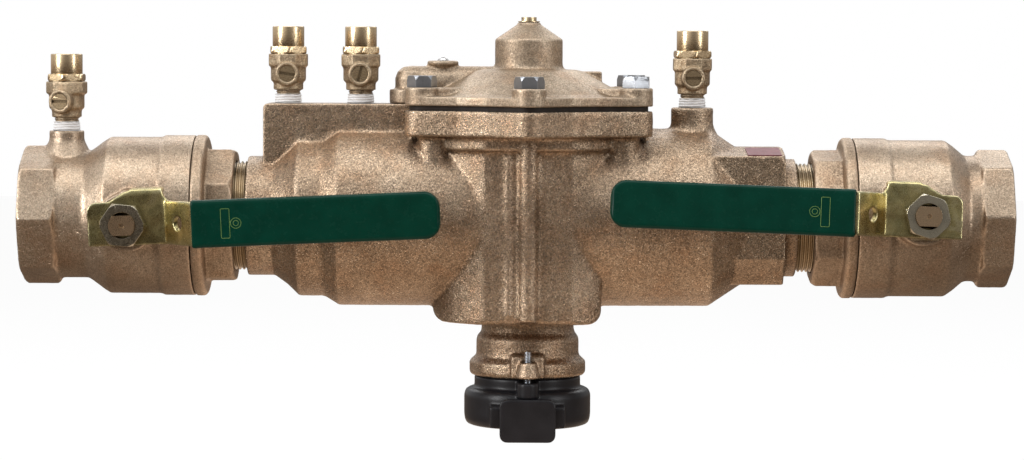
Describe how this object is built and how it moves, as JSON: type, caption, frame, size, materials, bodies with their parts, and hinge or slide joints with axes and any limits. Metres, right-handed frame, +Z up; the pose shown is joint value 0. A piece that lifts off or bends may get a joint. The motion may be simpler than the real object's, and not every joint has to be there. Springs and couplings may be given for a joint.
{
  "type": "reduced pressure backflow preventer",
  "caption": "In-line bronze backflow preventer with a bolted relief valve cover, ball shut-off valves with lever handles, upright test cocks and a bottom discharge.",
  "frame": {"origin": "centre of the inlet port's end face, on the flow axis", "axes": "+X along the flow from inlet to outlet, +Z up towards the relief cover, -Y the side the levers face"},
  "size_m": [0.5442, 0.1644, 0.2307],
  "materials": {
    "bronze_cast": "satin",
    "bronze_pale": "satin",
    "brass_machined": "satin",
    "brass_forged": "satin",
    "stem_bronze": "satin",
    "chrome_ball": "gloss",
    "zinc_yellow": "satin",
    "zinc_steel": "satin",
    "stainless": "satin",
    "green_vinyl": "gloss",
    "ptfe": "matte",
    "acetal": "matte",
    "black_rubber": "matte",
    "black_plastic": "satin",
    "burgundy_label": "satin"
  },
  "bodies": {
    "valve_assembly": {"main_body": "bronze_cast", "inlet_nipple": "brass_machined", "outlet_nipple": "brass_machined", "inlet_valve_body": "bronze_pale", "inlet_valve_retainer": "bronze_cast", "outlet_valve_body": "bronze_pale", "outlet_valve_retainer": "bronze_cast", "ball_seats": "ptfe", "stem_packings": "ptfe", "packing_glands": "brass_machined", "testcock_1_body": "brass_forged", "testcock_2_body": "brass_forged", "testcock_3_body": "brass_forged", "testcock_4_body": "brass_forged", "testcock_end_pieces": "brass_machined", "thread_tapes": "ptfe", "relief_cover": "bronze_pale", "cover_bolts": "zinc_steel", "bonnet_screw": "brass_machined", "bleed_screw": "stainless", "diaphragm": "black_rubber", "relief_spring": "stainless", "relief_guide": "acetal", "relief_seat": "stainless", "check1_seat": "acetal", "check1_cage": "acetal", "check1_spring": "stainless", "check2_seat": "acetal", "check2_cage": "acetal", "check2_spring": "stainless", "retaining_rings": "stainless", "static_o_rings": "black_rubber", "discharge_ring": "black_plastic", "sensor_cover": "black_plastic", "ring_screws": "zinc_steel", "id_label": "burgundy_label"},
    "inlet_handle": {"inlet_lever": "zinc_yellow", "inlet_grip": "green_vinyl", "inlet_lever_nut": "zinc_steel", "inlet_stem": "stem_bronze", "inlet_ball": "chrome_ball"},
    "outlet_handle": {"outlet_lever": "zinc_yellow", "outlet_grip": "green_vinyl", "outlet_lever_nut": "zinc_steel", "outlet_stem": "stem_bronze", "outlet_ball": "chrome_ball"},
    "testcock_1_plug": {"testcock_1_core": "brass_machined"},
    "testcock_2_plug": {"testcock_2_core": "brass_machined"},
    "testcock_3_plug": {"testcock_3_core": "brass_machined"},
    "testcock_4_plug": {"testcock_4_core": "brass_machined"},
    "check1_moving": {"check1_poppet": "acetal", "check1_disc": "black_rubber"},
    "check2_moving": {"check2_poppet": "acetal", "check2_disc": "black_rubber"},
    "relief_moving": {"relief_stem": "stainless", "relief_stem_nut": "stainless", "diaphragm_upper_plate": "stainless", "diaphragm_lower_plate": "acetal", "relief_disc_holder": "stainless", "relief_disc": "black_rubber"}
  },
  "joints": [
    {"name": "inlet_lever_turn", "type": "hinge", "parent": "valve_assembly", "child": "inlet_handle", "pos_m": [0.0621, 0, 0], "axis": [0, 0.9997, 0.0227], "range_deg": [0, 90]},
    {"name": "outlet_lever_turn", "type": "hinge", "parent": "valve_assembly", "child": "outlet_handle", "pos_m": [0.4917, 0, 0], "axis": [0, 0.9977, -0.068], "range_deg": [0, 90]},
    {"name": "testcock_1_turn", "type": "hinge", "parent": "valve_assembly", "child": "testcock_1_plug", "pos_m": [0.0231, 0, 0.0629], "axis": [0.1736, 0.9848, 0], "range_deg": [-90, 0]},
    {"name": "testcock_2_turn", "type": "hinge", "parent": "valve_assembly", "child": "testcock_2_plug", "pos_m": [0.1458, 0, 0.0787], "axis": [0, 1, 0], "range_deg": [-98, 0]},
    {"name": "testcock_3_turn", "type": "hinge", "parent": "valve_assembly", "child": "testcock_3_plug", "pos_m": [0.1859, 0, 0.0787], "axis": [0, 1, 0], "range_deg": [-15, 75]},
    {"name": "testcock_4_turn", "type": "hinge", "parent": "valve_assembly", "child": "testcock_4_plug", "pos_m": [0.3693, 0, 0.0772], "axis": [0, 1, 0], "range_deg": [-90, 0]},
    {"name": "check1_lift", "type": "slide", "parent": "valve_assembly", "child": "check1_moving", "axis": [1, 0, 0], "range_m": [0, 0.012], "deforming": ["check1_spring"]},
    {"name": "check2_lift", "type": "slide", "parent": "valve_assembly", "child": "check2_moving", "axis": [1, 0, 0], "range_m": [0, 0.012], "deforming": ["check2_spring"]},
    {"name": "relief_lift", "type": "slide", "parent": "valve_assembly", "child": "relief_moving", "axis": [0, 0, 1], "range_m": [0, 0.01], "deforming": ["relief_spring", "diaphragm"]}
  ]
}
